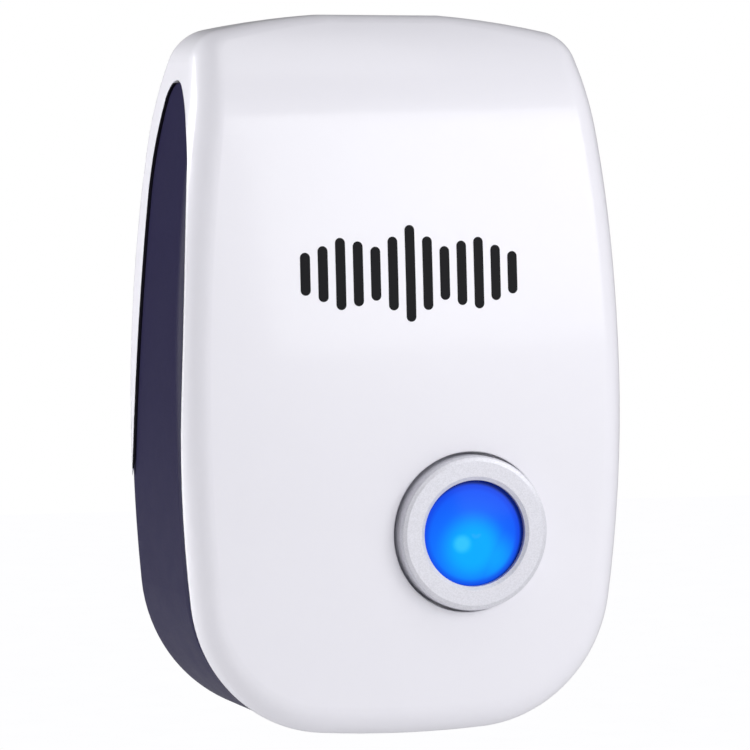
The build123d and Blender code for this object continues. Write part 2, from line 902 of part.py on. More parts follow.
# ---------------------------------------------------------------- circuit board
def circuit_board():
    """Board on four standoffs, with holes for its screws and the switch's pins."""
    half = board_width / 2
    board = block((-half, half), (board_front, -board_back), (board_low, board_high))
    board = fillet(board.edges().filter_by(Axis.Y), 2.0)
    for x, z in board_spots:
        board -= rod_y(x, z, board_hole_radius, board_front - 1, 1 - board_back)
    for x, z in pin_spots():
        board -= rod_y(x, z, pin_radius + 0.05, board_front - 1, 1 - board_back)
    return board


def board_screws():
    """Four screws that hold the board on its standoffs."""
    made = []
    for x, z in board_spots:
        length = board_thickness + board_screw_bite
        head = (board_head_radius, board_head_depth)
        made.append(small_screw(x, z, board_front, length, board_screw_radius, *head))
    return made


def axial_part(x, z, radius, length, span, wire=0.3):
    """Component with its body along X, and a wire at each end bent down to the board."""
    y = board_front - radius - part_lift
    body = rod_x(y, z, radius, x - length / 2, x + length / 2)
    body = fillet(body.edges().filter_by(GeomType.CIRCLE), radius * 0.35)
    body += rod_x(y, z, wire, x - span / 2, x + span / 2)
    for side in (-1, 1):
        end = x + side * span / 2
        body += rod_y(end, z, wire, y, board_front)
        body += Pos(end, y, z) * Sphere(wire)
    return body


def film_capacitor():
    """Boxed mains capacitor."""
    x, z = film_capacitor_spot
    half_x = film_capacitor_length / 2
    half_z = film_capacitor_width / 2
    top = board_front - film_capacitor_height
    body = block((x - half_x, x + half_x), (board_front, top), (z - half_z, z + half_z))
    return fillet(body.edges().filter_by(Axis.Y), 0.8)


def filter_capacitors():
    """Two round capacitors standing on the board, with their scored tops."""
    made = []
    top = board_front - filter_capacitor_height
    radius = filter_capacitor_radius
    reach = radius * 0.6
    half = score_width / 2
    score = (top - 1, top + 0.2)
    for x, z in filter_capacitor_spots:
        body = rod_y(x, z, radius, board_front, top)
        body = fillet(body.edges().filter_by(GeomType.CIRCLE).sort_by(Axis.Y)[0], 0.6)
        body -= tube_y(x, z, radius + 0.5, radius - 0.3, board_front - 1.6, board_front - 2.2)
        body -= block((x - reach, x + reach), score, (z - half, z + half))
        body -= block((x - half, x + half), score, (z - reach, z + reach))
        made.append(body)
    return made


def rectifier_diodes():
    """Four mains diodes in two rows."""
    return [axial_part(x, z, diode_radius, diode_length, diode_span) for x, z in diode_spots]


def fusible_resistor():
    """Large resistor in the mains input."""
    return axial_part(*fusible_spot, fusible_radius, fusible_length, fusible_span, wire=0.35)


def resistors():
    """Four small resistors."""
    return [axial_part(x, z, resistor_radius, resistor_length, resistor_span) for x, z in resistor_spots]


def controller_chip():
    """Eight-pin controller with bent pins."""
    x, z = chip_spot
    half_x = chip_width / 2
    half_z = chip_length / 2
    depth = (board_front - chip_lift, board_front - chip_top)
    body = block((x - half_x, x + half_x), depth, (z - half_z, z + half_z))
    body = chamfer(body.edges().filter_by(Axis.Z), 0.4)
    body -= rod_y(x, z + half_z, 0.8, depth[1] + 0.7, depth[1] - 1)
    knee = board_front - chip_pin_level
    tip = knee - chip_pin_thickness
    for side in (-1, 1):
        near = x + side * (half_x - 0.2)
        far = x + side * (half_x + chip_pin_reach)
        foot = (far - side * chip_pin_thickness, far)
        for index in range(chip_pin_rows):
            level = z + (index - (chip_pin_rows - 1) / 2) * chip_pin_pitch
            body += block((near, far), (knee, tip), (level - 0.4, level + 0.4))
            body += block(foot, (board_front, tip), (level - 0.25, level + 0.25))
    return body


def driver_transistors():
    """Two small transistors with one flat side."""
    made = []
    x = transistor_x
    base = board_front - transistor_lift
    half = transistor_leg / 2
    for z in transistor_heights:
        body = rod_y(x, z, transistor_radius, base, board_front - transistor_top)
        flat = (board_front, board_front - transistor_top - 1)
        body -= block((x + transistor_flat, x + 3), flat, (z - 3, z + 3))
        for leg in (-1, 0, 1):
            level = z + leg * transistor_leg_pitch
            body += block((x - half, x + half), (board_front, base), (level - half, level + half))
        made.append(body)
    return made


def drive_coil_core():
    """Ferrite core: two E halves closed into a frame with a middle leg."""
    half_x = core_width / 2
    half_z = core_depth / 2
    across = (coil_x - half_x, coil_x + half_x)
    core = block(across, (coil_back, coil_front), (coil_z - half_z, coil_z + half_z))
    for side in (-1, 1):
        window = sorted((coil_x + side * core_leg, coil_x + side * (core_leg + core_window)))
        opening = (coil_back - core_leg, coil_front + core_leg)
        core -= block(window, opening, (coil_z - half_z - 1, coil_z + half_z + 1))
    return core


def coil_bore(grow):
    """Square rod round the core's middle leg, from end to end of the bobbin."""
    half_x = core_leg + tube_gap + grow
    half_z = core_depth / 2 + tube_gap + grow
    across = (coil_x - half_x, coil_x + half_x)
    return block(across, (coil_low + 1, coil_high - 1), (coil_z - half_z, coil_z + half_z))


def drive_coil_bobbin():
    """Bobbin round the core's middle leg, with its foot on the board."""
    half_x = bobbin_width / 2
    half_z = bobbin_length / 2
    across = (coil_x - half_x, coil_x + half_x)
    along = (coil_z - half_z, coil_z + half_z)
    made = coil_bore(tube_wall) & block(across, (coil_low, coil_high), along)
    made += block(across, (coil_low, coil_low - bobbin_flange), along)
    made += block(across, (coil_high + bobbin_flange, coil_high), along)
    made -= coil_bore(0)
    for side in (-1, 1):
        foot = sorted((coil_z + side * (half_z - 1.2), coil_z + side * half_z))
        made += block(across, (board_front, coil_low), foot)
    return made


def drive_coil_winding():
    """Copper winding on the bobbin."""
    half_x = winding_width / 2
    half_z = winding_length / 2
    depth = (coil_low - bobbin_flange - 0.1, coil_high + bobbin_flange + 0.1)
    body = block((coil_x - half_x, coil_x + half_x), depth, (coil_z - half_z, coil_z + half_z))
    body = fillet(body.edges().filter_by(Axis.Y), 1.2)
    return body - coil_bore(tube_wall)


# ---------------------------------------------------------------- export
nodes = {
    "front_cover": front_cover,
    "rear_housing": rear_housing,
    "housing_screws": housing_screws,
    "plug_insert": plug_insert,
    "live_blade": lambda: blade(-1),
    "neutral_blade": lambda: blade(1),
    "blade_clamp": blade_clamp,
    "clamp_screws": clamp_screws,
    "live_lead": lambda: mains_lead(-1),
    "neutral_lead": lambda: mains_lead(1),
    "circuit_board": circuit_board,
    "board_screws": board_screws,
    "film_capacitor": film_capacitor,
    "filter_capacitors": filter_capacitors,
    "rectifier_diodes": rectifier_diodes,
    "fusible_resistor": fusible_resistor,
    "resistors": resistors,
    "controller_chip": controller_chip,
    "driver_transistors": driver_transistors,
    "drive_coil_core": drive_coil_core,
    "drive_coil_bobbin": drive_coil_bobbin,
    "drive_coil_winding": drive_coil_winding,
    "dust_mesh": dust_mesh,
    "transducer_holder": transducer_holder,
    "transducer_can": transducer_can,
    "transducer_base": transducer_base,
    "piezo_disc": piezo_disc,
    "transducer_cone": transducer_cone,
    "transducer_pins": transducer_pins,
    "transducer_leads": transducer_leads,
    "button_ring": button_ring,
    "button_lens": button_lens,
    "light_diffuser": light_diffuser,
    "button_carrier": button_carrier,
    "switch_housing": switch_housing,
    "switch_plunger": switch_plunger,
    "switch_spring": switch_spring,
    "switch_pins": switch_pins,
    "night_light_leds": night_light_leds,
}

os.makedirs("parts", exist_ok=True)
for node, make in nodes.items():
    made = make()
    pieces = made if isinstance(made, list) else [made]
    solids = [solid for piece in pieces for solid in piece.solids()]
    placed = [Pos(0, 0, -plug_height) * solid for solid in solids]
    shape = placed[0] if len(placed) == 1 else Compound(children=placed)
    export_step(shape, f"parts/{node}.step")
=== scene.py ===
"""Plug-in ultrasonic pest repeller: finishes, printed mark, woven dust mesh, lights and camera.

The CAD model is the fixed frame. Lengths are metres in the frame's own axes: +Z up, the
front faces -Y, and the wall is the plane y = 0.
"""

import math

import bpy
import numpy as np
from bpy.props import FloatProperty, FloatVectorProperty, IntProperty, PointerProperty
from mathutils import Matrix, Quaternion, Vector


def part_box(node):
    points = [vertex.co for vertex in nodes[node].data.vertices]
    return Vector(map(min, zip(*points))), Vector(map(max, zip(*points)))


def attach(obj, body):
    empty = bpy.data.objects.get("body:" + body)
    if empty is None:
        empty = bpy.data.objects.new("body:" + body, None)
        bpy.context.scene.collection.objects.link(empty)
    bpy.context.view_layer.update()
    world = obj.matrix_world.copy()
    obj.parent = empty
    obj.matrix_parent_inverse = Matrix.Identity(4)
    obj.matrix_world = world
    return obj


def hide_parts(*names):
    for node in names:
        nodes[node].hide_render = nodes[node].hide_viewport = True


bl_info = {
    "name": "Plug-in Repeller",
    "version": (1, 0, 0),
    "blender": (4, 5, 0),
    "location": "3D View > Sidebar > Repeller",
    "description": "Finishes, printed mark, lights and camera for a plug-in pest repeller",
    "category": "Object",
}

MM = 0.001
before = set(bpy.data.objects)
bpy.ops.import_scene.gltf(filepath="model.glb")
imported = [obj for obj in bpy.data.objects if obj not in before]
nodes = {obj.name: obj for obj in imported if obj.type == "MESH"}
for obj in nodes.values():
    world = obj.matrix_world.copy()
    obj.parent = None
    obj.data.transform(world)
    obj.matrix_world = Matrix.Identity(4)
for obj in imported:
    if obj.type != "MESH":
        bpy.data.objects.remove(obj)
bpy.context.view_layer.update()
cover_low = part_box("front_cover")[0]
housing_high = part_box("rear_housing")[1]
lens_low, lens_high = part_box("button_lens")
button_x = (lens_low.x + lens_high.x) / 2
button_z = (lens_low.z + lens_high.z) / 2
lens_radius = (lens_high.x - lens_low.x) / 2

# ---- shape of the cover's front: a bow from foot to top, turned about a far upright axis ----
CASE_DEPTH = 28 * MM
FRONT_BOW_RADIUS = 320 * MM
FRONT_BOW_HEIGHT = -20 * MM
CROWN_RADIUS = 270 * MM

# ---- where the cover's parting walls lie, for the painted shade on them: depth in front of the wall, height over the plug ----
PARTING_START_DEPTH = 2.6 * MM
REAR_PARTING_DEPTH = 16 * MM
CREST_PARTING_HEIGHT = 20 * MM
PARTING_TOP_HEIGHT = 35.6 * MM


# ------------------------------------------------------------------ settings
def colour(name, text, value):
    """Colour property with its default."""
    return FloatVectorProperty(
        name=name, description=text, default=value, size=3, subtype="COLOR", min=0, max=1
    )


def length(name, text, value):
    """Length property with its default, in metres."""
    return FloatProperty(name=name, description=text, default=value, unit="LENGTH")


def share(name, text, value, high=1.0):
    """Plain number from nothing to a highest value."""
    return FloatProperty(name=name, description=text, default=value, min=0, max=high)


class RepellerFinishes(bpy.types.PropertyGroup):
    """Colours of the pieces that show."""

    cover: colour("Cover", "White plastic of the front cover", (0.87, 0.862, 0.922))
    housing: colour("Housing", "Dark plastic of the rear housing", (0.0120, 0.0098, 0.043))
    insert: colour("Plug insert", "Dark plastic round the blades", (0.022, 0.021, 0.026))
    nickel: colour("Nickel", "Plating of the blades", (0.66, 0.62, 0.55))
    ring: colour("Ring", "Silver paint of the button's ring", (0.72, 0.72, 0.78))
    ink: colour("Ink", "Ink of the printed mark", (0.006, 0.006, 0.008))
    # The lens colours below are painted light and shade: the emitted glow of the lamp behind the lens, its
    # falling-off, and painted shade at the lens's rim.
    glow: colour("Lens glow", "Brightest blue of the lit lens", (0.036, 0.57, 0.99))
    halo: colour("Lens halo", "Clear blue round the brightest spot", (0.0, 0.45, 1.0))
    lens_edge_shade: colour("Lens edge", "Blue just inside the lens's rim", (0.004, 0.055, 0.75))
    lens: colour("Lens", "Blue of the lens round the glow", (0.002, 0.165, 0.96))
    lens_top: colour("Lens far side", "Blue of the lens away from the glow", (0.004, 0.085, 0.90))
    lens_rim_shade: colour("Lens rim", "Deep blue at the lens's edge", (0.001, 0.006, 0.12))


class RepellerMark(bpy.types.PropertyGroup):
    """Sizes of the printed row of level bars."""

    width: length("Width", "Width of the row", 30 * MM)
    height: length("Height", "Height of the tallest bar", 12.6 * MM)
    bar: length("Bar", "Width of one bar", 1.35 * MM)
    ink_depth: length("Ink depth", "Thickness of the ink over the plastic", 0.02 * MM)
    middle: length("Middle", "Height of the row's middle over the plug", 11 * MM)
    count: IntProperty(name="Bars", description="Number of bars", default=13, min=3, max=31)


class RepellerMesh(bpy.types.PropertyGroup):
    """Sizes of the woven dust mesh in the sound outlet."""

    pitch: length("Pitch", "Distance between two wires", 0.6 * MM)
    wire: length("Wire", "Diameter of one wire", 0.14 * MM)


class RepellerStage(bpy.types.PropertyGroup):
    """Viewing angle, surroundings and lights."""

    azimuth: FloatProperty(
        name="Azimuth",
        description="Turn of the camera to the object's left",
        default=math.radians(18.9),
        subtype="ANGLE",
    )
    elevation: FloatProperty(
        name="Elevation",
        description="Height of the camera over the horizon",
        default=math.radians(3.8),
        subtype="ANGLE",
    )
    roll: FloatProperty(
        name="Roll", description="Tilt of the camera", default=math.radians(0.32), subtype="ANGLE"
    )
    distance: length("Distance", "From the camera to the middle of the case", 0.65)
    focal: FloatProperty(name="Focal length", description="In millimetres", default=234.3, min=1)
    backdrop: share("Backdrop", "Brightness behind the object", 1.0, 4)
    front_fill: share("Front fill", "Brightness of the room in front of the object", 0.645, 4)
    back_fill: share("Back fill", "Brightness of the room behind the object", 0.10, 4)
    key: share("Key", "Power of the large frontal light, in watts", 6.5, 500)
    top: share("Top", "Power of the light over the object, in watts", 1.0, 500)
    low: share("Low", "Power of the light below the object, in watts", 0.35, 500)
    side: share("Side", "Power of the light on the left, in watts", 11.5, 500)
    floor_glow: share("Floor glow", "How bright the floor looks in the picture", 1.1, 4)
    floor_drop: length("Floor drop", "From the case's foot down to the floor", 120 * MM)


# ------------------------------------------------------------------ shader pieces
class Shader:
    """One node tree being built, with short calls for its nodes."""

    def __init__(self, tree):
        self.tree = tree

    def add(self, kind, **values):
        """Node of one kind, with its own settings."""
        node = self.tree.nodes.new("ShaderNode" + kind)
        for name, value in values.items():
            setattr(node, name, value)
        return node

    def put(self, socket, value):
        """Links a socket, or sets a number or colour."""
        if isinstance(value, bpy.types.NodeSocket):
            self.tree.links.new(value, socket)
        else:
            socket.default_value = value

    def calc(self, operation, *values, clamp=False):
        """Sum of one kind on up to three sockets or numbers."""
        node = self.add("Math", operation=operation, use_clamp=clamp)
        for socket, value in zip(node.inputs, values):
            self.put(socket, value)
        return node.outputs[0]

    def blend(self, factor, first, second):
        """Colour between two colours."""
        node = self.add("Mix", data_type="RGBA")
        for socket, value in zip((node.inputs[0], node.inputs[6], node.inputs[7]), (factor, first, second)):
            if isinstance(value, (tuple, list)) and len(value) == 3:
                value = (*value, 1)
            self.put(socket, value)
        return node.outputs[2]

    def step(self, value, low, high, start=0.0, end=1.0):
        """Value taken smoothly from one range to another, and held at both ends."""
        node = self.add("MapRange", interpolation_type="SMOOTHSTEP")
        for socket, number in zip(node.inputs, (value, low, high, start, end)):
            self.put(socket, number)
        return node.outputs[0]

    def places(self):
        """Object coordinates and their x, y and z."""
        coords = self.add("TexCoord").outputs["Object"]
        split = self.add("SeparateXYZ")
        self.put(split.inputs[0], coords)
        return coords, split.outputs["X"], split.outputs["Y"], split.outputs["Z"]

    def noise(self, vector, scale, detail=2.0):
        """Soft noise, from 0 to 1."""
        node = self.add("TexNoise")
        self.put(node.inputs["Vector"], vector)
        self.put(node.inputs["Scale"], scale)
        self.put(node.inputs["Detail"], detail)
        return node.outputs["Fac"]

    def place_group(self, group, **values):
        """Places a node group with its own values."""
        node = self.add("Group", node_tree=group)
        for name, value in values.items():
            if isinstance(value, (tuple, list)) and len(value) == 3 and name == "Colour":
                value = (*value, 1)
            self.put(node.inputs[name], value)
        return node.outputs


def new_group(name, inputs, outputs):
    """Empty node group with named sockets: returns it, its builder, its input and its output."""
    group = bpy.data.node_groups.new(name, "ShaderNodeTree")
    for label, kind, value in inputs:
        socket = group.interface.new_socket(name=label, in_out="INPUT", socket_type="NodeSocket" + kind)
        socket.default_value = value
    for label, kind in outputs:
        group.interface.new_socket(name=label, in_out="OUTPUT", socket_type="NodeSocket" + kind)
    build = Shader(group)
    source = group.nodes.new("NodeGroupInput").outputs
    target = group.nodes.new("NodeGroupOutput").inputs
    return group, build, source, target


SKIN_OUTPUTS = (("Colour", "Color"), ("Roughness", "Float"), ("Height", "Float"))


def moulded_group():
    """Moulded surface: a slow drift of tone, a fine grain, and a faint dulling by handling."""
    found = bpy.data.node_groups.get("moulded_surface")
    if found:
        return found
    group, build, source, target = new_group(
        "moulded_surface",
        (
            ("Colour", "Color", (0.5, 0.5, 0.5, 1)),
            ("Drift", "Float", 0.03),
            ("Grain", "Float", 2500.0),
            ("Roughness", "Float", 0.4),
            ("Spread", "Float", 0.05),
        ),
        SKIN_OUTPUTS,
    )
    coords = build.places()[0]
    slow = build.noise(coords, 70.0, 3.0)
    handled = build.noise(coords, 240.0, 4.0)
    grain = build.noise(coords, source["Grain"], 2.0)
    tone = build.calc("MULTIPLY_ADD", build.calc("SUBTRACT", slow, 0.5), source["Drift"], 1.0)
    shade = build.add("VectorMath", operation="SCALE")
    build.put(shade.inputs[0], source["Colour"])
    build.put(shade.inputs["Scale"], tone)
    build.put(target["Colour"], shade.outputs[0])
    worn = build.calc("SUBTRACT", build.calc("ADD", handled, grain), 1.0)
    rough = build.calc("MULTIPLY_ADD", worn, source["Spread"], source["Roughness"], clamp=True)
    build.put(target["Roughness"], rough)
    build.put(target["Height"], grain)
    return group


def drawn_group():
    """Drawn or plated metal: streaks along one axis, with tarnish in soft clouds."""
    found = bpy.data.node_groups.get("drawn_metal")
    if found:
        return found
    group, build, source, target = new_group(
        "drawn_metal",
        (
            ("Colour", "Color", (0.6, 0.6, 0.6, 1)),
            ("Streaks", "Vector", (4000.0, 200.0, 4000.0)),
            ("Roughness", "Float", 0.3),
            ("Spread", "Float", 0.12),
            ("Tarnish", "Float", 0.2),
        ),
        SKIN_OUTPUTS,
    )
    coords = build.places()[0]
    stretched = build.add("VectorMath", operation="MULTIPLY")
    build.put(stretched.inputs[0], coords)
    build.put(stretched.inputs[1], source["Streaks"])
    streaks = build.noise(stretched.outputs[0], 1.0, 3.0)
    clouds = build.noise(coords, 350.0, 4.0)
    dim = build.calc("MULTIPLY", build.step(clouds, 0.45, 0.75), source["Tarnish"])
    tone = build.calc("SUBTRACT", build.calc("MULTIPLY_ADD", streaks, 0.2, 0.9), dim)
    shade = build.add("VectorMath", operation="SCALE")
    build.put(shade.inputs[0], source["Colour"])
    build.put(shade.inputs["Scale"], tone)
    build.put(target["Colour"], shade.outputs[0])
    spread = build.calc("ADD", build.calc("SUBTRACT", streaks, 0.5), dim)
    rough = build.calc("MULTIPLY_ADD", spread, source["Spread"], source["Roughness"], clamp=True)
    build.put(target["Roughness"], rough)
    build.put(target["Height"], streaks)
    return group


def flake_group():
    """Metal flakes in paint: small cells, each with its own tilt and a painted sparkle, a brightness of its
    own that stands in for the glint of the tilted flake.
    """
    found = bpy.data.node_groups.get("metal_flakes")
    if found:
        return found
    group, build, source, target = new_group(
        "metal_flakes",
        (
            ("Colour", "Color", (0.7, 0.7, 0.7, 1)),
            ("Flakes", "Float", 9000.0),
            ("Sparkle", "Float", 0.3),
            ("Roughness", "Float", 0.35),
        ),
        SKIN_OUTPUTS,
    )
    coords = build.places()[0]
    cells = build.add("TexVoronoi")
    build.put(cells.inputs["Vector"], coords)
    build.put(cells.inputs["Scale"], source["Flakes"])
    split = build.add("SeparateColor")
    build.put(split.inputs[0], cells.outputs["Color"])
    # Painted sparkle: each flake's colour is made brighter or darker, standing in for the glint of its tilted
    # face.
    spark = build.calc("SUBTRACT", split.outputs[0], 0.5)
    tone = build.calc("MULTIPLY_ADD", spark, source["Sparkle"], 1.0)
    shade = build.add("VectorMath", operation="SCALE")
    build.put(shade.inputs[0], source["Colour"])
    build.put(shade.inputs["Scale"], tone)
    build.put(target["Colour"], shade.outputs[0])
    swing = build.calc("SUBTRACT", split.outputs[1], 0.5)
    rough = build.calc("MULTIPLY_ADD", swing, 0.12, source["Roughness"])
    build.put(target["Roughness"], rough)
    build.put(target["Height"], split.outputs[2])
    return group


def new_finish(name, metallic=0.0, specular=0.5, coat=0.0, coat_roughness=0.05):
    """Material with one Principled shader: returns the material, its builder and its shader."""
    material = bpy.data.materials.new(name)
    material.use_nodes = True
    shader = material.node_tree.nodes["Principled BSDF"]
    shader.inputs["Metallic"].default_value = metallic
    shader.inputs["Specular IOR Level"].default_value = specular
    shader.inputs["Coat Weight"].default_value = coat
    shader.inputs["Coat Roughness"].default_value = coat_roughness
    return material, Shader(material.node_tree), shader


def relief(build, shader, height, depth, rounded=0.0):
    """Bump from a height, over edges that are rounded by a small radius."""
    bump = build.add("Bump")
    build.put(bump.inputs["Height"], height)
    bump.inputs["Strength"].default_value = 1.0
    bump.inputs["Distance"].default_value = depth
    if rounded:
        bevel = build.add("Bevel", samples=4)
        bevel.inputs["Radius"].default_value = rounded
        build.put(bump.inputs["Normal"], bevel.outputs[0])
    build.put(shader.inputs["Normal"], bump.outputs[0])


def moulded(name, tint, roughness, drift=0.05, grain=2500.0, depth=0.004, spread=0.08, rounded=0.0, **gloss):
    """Moulded plastic, rubber, ceramic or lacquer."""
    material, build, shader = new_finish(name, **gloss)
    skin = build.place_group(
        moulded_group(), Colour=tuple(tint), Drift=drift, Grain=grain, Roughness=roughness, Spread=spread
    )
    build.put(shader.inputs["Base Color"], skin["Colour"])
    build.put(shader.inputs["Roughness"], skin["Roughness"])
    relief(build, shader, skin["Height"], depth * MM, rounded)
    return material


def drawn(name, tint, roughness, streaks, spread=0.12, tarnish=0.15, depth=0.003, rounded=0.0):
    """Plated or drawn metal."""
    material, build, shader = new_finish(name, metallic=1.0)
    skin = build.place_group(
        drawn_group(),
        Colour=tuple(tint),
        Streaks=streaks,
        Roughness=roughness,
        Spread=spread,
        Tarnish=tarnish,
    )
    build.put(shader.inputs["Base Color"], skin["Colour"])
    build.put(shader.inputs["Roughness"], skin["Roughness"])
    relief(build, shader, skin["Height"], depth * MM, rounded)
    return material


# ------------------------------------------------------------------ finishes of single pieces
def cover_finish(tint):
    """Glossy white plastic, with painted shade on the parting walls that face the housing across the gap:
    only they are coloured near black, in place of the shadow there.
    """
    material, build, shader = new_finish("cover_gloss_white", coat=0.3, coat_roughness=0.08)
    skin = build.place_group(
        moulded_group(), Colour=tuple(tint), Drift=0.012, Grain=900.0, Roughness=0.3, Spread=0.05
    )
    y, z = build.places()[2:]
    # Mask of the parting walls that face the housing across the gap, where a painted shadow goes.
    normal = build.add("SeparateXYZ")
    build.put(normal.inputs[0], build.add("NewGeometry").outputs["True Normal"])
    facing_back = build.calc("GREATER_THAN", normal.outputs["Y"], 0.9)
    facing_front = build.calc("LESS_THAN", normal.outputs["Y"], -0.5)
    facing_down = build.calc("LESS_THAN", normal.outputs["Z"], -0.15)
    rear = build.calc("MULTIPLY", facing_front, build.calc("GREATER_THAN", y, -REAR_PARTING_DEPTH))
    crest = build.calc("MULTIPLY", facing_down, build.calc("GREATER_THAN", z, CREST_PARTING_HEIGHT))
    walls = build.calc("MAXIMUM", facing_back, build.calc("MAXIMUM", rear, crest))
    off_wall = build.calc("LESS_THAN", y, -PARTING_START_DEPTH)
    below_top = build.calc("LESS_THAN", z, PARTING_TOP_HEIGHT)
    gap_shade_zone = build.calc("MULTIPLY", off_wall, below_top)
    mask = build.calc("MULTIPLY", walls, gap_shade_zone)
    # Painted shade: near black on the masked walls, standing in for the shadow in the gap.
    build.put(shader.inputs["Base Color"], build.blend(mask, skin["Colour"], (0.006, 0.005, 0.010)))
    build.put(shader.inputs["Roughness"], skin["Roughness"])
    relief(build, shader, skin["Height"], 0.0015 * MM, rounded=0.3 * MM)
    return material


def housing_finish(tint):
    """Satin dark plastic with a fine spark-eroded texture."""
    material, build, shader = new_finish("housing_satin_dark", specular=0.07)
    skin = build.place_group(
        moulded_group(), Colour=tuple(tint), Drift=0.15, Grain=5200.0, Roughness=0.42, Spread=0.1
    )
    build.put(shader.inputs["Base Color"], skin["Colour"])
    build.put(shader.inputs["Roughness"], skin["Roughness"])
    relief(build, shader, skin["Height"], 0.006 * MM, rounded=0.3 * MM)
    return material


def ring_finish(tint):
    """Silver paint with fine metal flakes."""
    material, build, shader = new_finish("ring_silver_paint", metallic=0.3, coat=0.15, coat_roughness=0.2)
    # The flakes carry a painted sparkle, set by Sparkle.
    skin = build.place_group(
        flake_group(), Colour=tuple(tint), Flakes=7000.0, Sparkle=0.12, Roughness=0.4
    )
    build.put(shader.inputs["Base Color"], skin["Colour"])
    build.put(shader.inputs["Roughness"], skin["Roughness"])
    relief(build, shader, skin["Height"], 0.0006 * MM, rounded=0.05 * MM)
    return material


def lens_finish(finishes):
    """Blue lens, all painted light: an emission pattern paints the glow of the lamp behind it, bright round
    the lamp and deeper away from it, and painted shade darkens it at its rim.
    """
    material, build, shader = new_finish("lens_painted_glow", specular=0.06)
    _, x, _, z = build.places()
    across = build.calc("SUBTRACT", x, button_x)
    up = build.calc("SUBTRACT", z, button_z)

    def distance(from_x, from_z):
        side = build.calc("SUBTRACT", across, from_x)
        rise = build.calc("SUBTRACT", up, from_z)
        square = build.calc("ADD", build.calc("MULTIPLY", side, side), build.calc("MULTIPLY", rise, rise))
        return build.calc("SQRT", square)

    # Painted light: the glow of the lamps behind the lens, as emission in bright spots with a falling-off
    # round them.
    far = build.step(distance(-1.0 * MM, -3.0 * MM), 3.5 * MM, 9.5 * MM)
    glow = build.blend(far, tuple(finishes.lens), tuple(finishes.lens_top))
    halo = build.step(distance(-0.4 * MM, -1.9 * MM), 1.8 * MM, 5.4 * MM, 0.85, 0.0)
    side_lamp = build.step(distance(2.6 * MM, -3.2 * MM), 0.3 * MM, 4.4 * MM, 0.65, 0.0)
    main_lamp = build.step(distance(-1.6 * MM, -1.5 * MM), 0.8 * MM, 3.6 * MM, 0.95, 0.0)
    lit = build.calc("MAXIMUM", halo, build.calc("MAXIMUM", side_lamp, main_lamp))
    glow = build.blend(lit, glow, tuple(finishes.halo))
    core = build.step(distance(-1.9 * MM, -1.3 * MM), 0.5 * MM, 1.5 * MM, 0.9, 0.0)
    glow = build.blend(core, glow, tuple(finishes.glow))
    # Painted shade at the rim: a ring of deep blue, wider towards the upper right, where the ring's bore
    # shades the lens.
    rim_shade_lean = build.calc("MULTIPLY", build.calc("ADD", across, up), 0.04)
    reach = build.calc("ADD", distance(0.0, 0.0), rim_shade_lean)
    edge = build.step(reach, lens_radius * 0.66, lens_radius * 0.76, 0.0, 0.8)
    glow = build.blend(edge, glow, tuple(finishes.lens_edge_shade))
    rim = build.step(reach, lens_radius * 0.755, lens_radius * 0.82)
    glow = build.blend(rim, glow, tuple(finishes.lens_rim_shade))
    build.put(shader.inputs["Emission Color"], glow)
    shader.inputs["Emission Strength"].default_value = 1.0
    skin = build.place_group(
        moulded_group(), Colour=(0.003, 0.012, 0.06), Drift=0.1, Grain=1500.0, Roughness=0.24, Spread=0.04
    )
    build.put(shader.inputs["Base Color"], skin["Colour"])
    build.put(shader.inputs["Roughness"], skin["Roughness"])
    relief(build, shader, skin["Height"], 0.002 * MM)
    return material


def board_finish():
    """Green solder mask over copper tracks, with tinned pads."""
    material, build, shader = new_finish("board_solder_mask", coat=0.2)
    coords = build.places()[0]
    cells = build.add("TexVoronoi", distance="CHEBYCHEV", feature="F1")
    build.put(cells.inputs["Vector"], coords)
    build.put(cells.inputs["Scale"], 330.0)
    tracks = build.step(cells.outputs["Distance"], 0.42, 0.46)
    pads = build.step(cells.outputs["Distance"], 0.10, 0.13, 1.0, 0.0)
    mask = build.blend(tracks, (0.006, 0.085, 0.028), (0.012, 0.15, 0.05))
    build.put(shader.inputs["Base Color"], build.blend(pads, mask, (0.62, 0.61, 0.58)))
    skin = build.place_group(moulded_group(), Colour=(0.5, 0.5, 0.5), Roughness=0.38, Spread=0.1)
    build.put(shader.inputs["Roughness"], skin["Roughness"])
    build.put(shader.inputs["Metallic"], pads)
    relief(build, shader, tracks, 0.035 * MM)
    return material


def striped(name, base, bands, axis, start, pitch, roughness, metallic=0.0):
    """Finish with coloured bands along one axis, repeated at a pitch: bands are (place, width, colour)."""
    material, build, shader = new_finish(name, metallic=metallic)
    along = build.places()[1 + "xyz".index(axis)]
    part = build.calc("FRACT", build.calc("DIVIDE", build.calc("SUBTRACT", along, start - 50 * pitch), pitch))
    skin = build.place_group(moulded_group(), Colour=base, Drift=0.1, Roughness=roughness)
    shade = skin["Colour"]
    for place, width, tint in bands:
        off = build.calc("ABSOLUTE", build.calc("SUBTRACT", part, place))
        shade = build.blend(build.step(off, width * 0.8, width, 1.0, 0.0), shade, tint)
    build.put(shader.inputs["Base Color"], shade)
    build.put(shader.inputs["Roughness"], skin["Roughness"])
    relief(build, shader, skin["Height"], 0.005 * MM)
    return material


